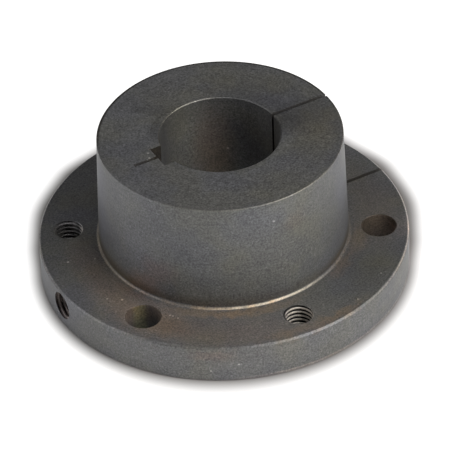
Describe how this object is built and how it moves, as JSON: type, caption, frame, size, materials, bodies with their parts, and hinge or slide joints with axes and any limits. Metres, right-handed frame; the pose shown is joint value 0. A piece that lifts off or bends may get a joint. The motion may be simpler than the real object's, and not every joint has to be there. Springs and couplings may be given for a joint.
{
  "type": "quick disconnect bushing",
  "caption": "Flanged split bushing with a tapered barrel, keyed bore, clearance and tapped flange holes and a radial set screw hole, which clamps a hub to a shaft.",
  "frame": {"origin": "on the bore's axis at the flange's back face, which is the lowest face", "axes": "+Z along the bore from the flange to the barrel's nose, +X towards the through saw slit, -X towards the keyway"},
  "size_m": [0.1174, 0.1174, 0.0508],
  "materials": {
    "oxide_steel": "dark grey oxide over fine turned metal, satin, with brown stain near the barrel's root"
  },
  "bodies": {
    "root": {"bushing": "oxide_steel"}
  },
  "joints": []
}
